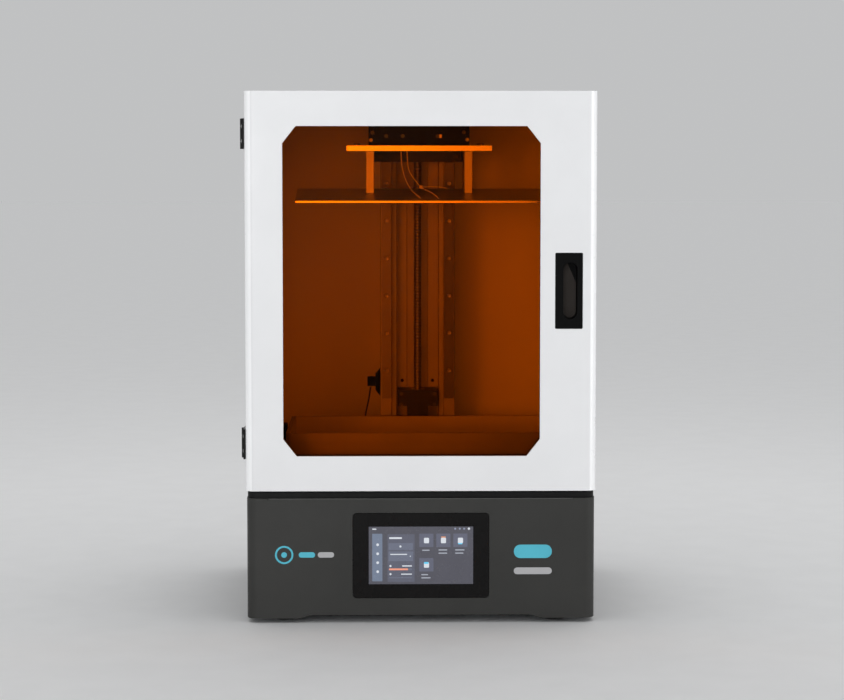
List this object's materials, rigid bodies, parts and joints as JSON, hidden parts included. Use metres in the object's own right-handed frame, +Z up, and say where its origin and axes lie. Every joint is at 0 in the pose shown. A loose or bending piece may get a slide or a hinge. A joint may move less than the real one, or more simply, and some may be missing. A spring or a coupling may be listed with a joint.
{
  "type": "resin printer",
  "caption": "Large enclosed resin printer: amber-windowed hinged door, vertical lift on twin rails over a clamped vat, touch screen in a dark base.",
  "frame": {"origin": "centre of the footprint on the ground", "axes": "+Z up, -Y is the front (door and screen), +X is to the right seen from the front; the door hinges are on the -X side"},
  "size_m": [0.5229, 0.47, 0.782],
  "materials": {
    "white_paint": "satin powder coat",
    "grey_paint": "fine textured powder coat",
    "black_metal": "black anodised, satin",
    "black_sheet": "black powder coat",
    "black_plastic": "fine moulded",
    "black_gloss": "semi gloss",
    "rubber": "matt",
    "cable_jacket": "satin jacket",
    "bare_aluminium": "bead blasted and brushed",
    "rail_steel": "ground",
    "galvanised": "zinc plated sheet",
    "circuit_board": "solder mask",
    "amber_acrylic": "polished UV blocking acrylic",
    "clear_film": "polished film",
    "screen_glass": "gloss"
  },
  "bodies": {
    "machine": {"base_housing": "grey_paint", "base_plate": "galvanised", "foot_front_left": "rubber", "foot_front_right": "rubber", "foot_rear_left": "rubber", "foot_rear_right": "rubber", "deck_plate": "black_sheet", "lcd_mount_frame": "black_metal", "lcd_panel": "screen_glass", "uv_light_box": "bare_aluminium", "uv_led_board": "circuit_board", "uv_heatsink": "bare_aluminium", "power_supply": "galvanised", "main_board": "circuit_board", "power_inlet": "black_plastic", "touch_bezel": "black_gloss", "touch_display": "screen_glass", "fan_frame": "black_plastic", "cabinet_shell": "white_paint", "top_panel": "white_paint", "rear_panel": "white_paint", "front_frame": "white_paint", "door_magnet": "black_plastic", "column_profile": "bare_aluminium", "rail_left": "rail_steel", "rail_right": "rail_steel", "lower_bearing_block": "black_metal", "upper_bearing_block": "black_metal", "z_motor": "black_sheet", "home_sensor": "black_plastic", "sensor_cable": "cable_jacket", "hinge_leaf_top_fixed": "black_sheet", "hinge_leaf_bottom_fixed": "black_sheet", "vat": "bare_aluminium", "vat_film": "clear_film"},
    "carriage": {"carriage_plate": "black_metal", "rail_block_left": "rail_steel", "rail_block_right": "rail_steel", "ball_nut": "rail_steel", "platform_arm": "black_metal", "bracket_top": "bare_aluminium", "bracket_leg_left": "bare_aluminium", "bracket_leg_right": "bare_aluminium", "build_platform": "bare_aluminium", "platform_lead_a": "cable_jacket", "platform_lead_b": "cable_jacket"},
    "z_screw": {"ball_screw": "rail_steel", "shaft_coupler": "bare_aluminium"},
    "door": {"door_frame": "white_paint", "door_window": "amber_acrylic", "door_handle": "black_plastic", "door_liner": "black_sheet", "door_seal": "rubber", "hinge_leaf_top_door": "black_sheet", "hinge_leaf_bottom_door": "black_sheet"},
    "platform_clamp": {"platform_knob": "black_plastic"},
    "vat_clamp_left": {"vat_knob_left": "black_plastic"},
    "vat_clamp_right": {"vat_knob_right": "black_plastic"},
    "rocker": {"power_rocker": "black_plastic"},
    "rotor": {"fan_rotor": "black_plastic"}
  },
  "joints": [
    {"name": "door_hinge", "type": "hinge", "parent": "machine", "child": "door", "pos_m": [-0.2581, -0.202, 0.489], "axis": [0, 0, -1], "range_deg": [0, 120]},
    {"name": "z_slide", "type": "slide", "parent": "machine", "child": "carriage", "axis": [0, 0, 1], "range_m": [-0.4, 0]},
    {"name": "screw_spin", "type": "hinge", "parent": "machine", "child": "z_screw", "pos_m": [0.0035, 0.118, 0.5], "axis": [0, 0, 1], "range_deg": [-1, 14401]},
    {"name": "platform_knob_turn", "type": "hinge", "parent": "carriage", "child": "platform_clamp", "pos_m": [0.0035, 0.01, 0.76], "axis": [0, 0, 1], "range_deg": [0, 1080]},
    {"name": "vat_knob_left_turn", "type": "hinge", "parent": "machine", "child": "vat_clamp_left", "pos_m": [-0.2095, -0.0225, 0.25], "axis": [0, 0, 1], "range_deg": [0, 1440]},
    {"name": "vat_knob_right_turn", "type": "hinge", "parent": "machine", "child": "vat_clamp_right", "pos_m": [0.2165, -0.0225, 0.25], "axis": [0, 0, 1], "range_deg": [0, 1440]},
    {"name": "power_rocker_tilt", "type": "hinge", "parent": "machine", "child": "rocker", "pos_m": [-0.169, 0.226, 0.121], "axis": [1, 0, 0], "range_deg": [0, 12]},
    {"name": "fan_spin", "type": "hinge", "parent": "machine", "child": "rotor", "pos_m": [0.0035, 0.2222, 0.1], "axis": [0, 1, 0], "continuous": true}
  ],
  "couplings": [
    {"joint": "screw_spin", "follows": "z_slide", "rad_per_m": -628.32}
  ]
}
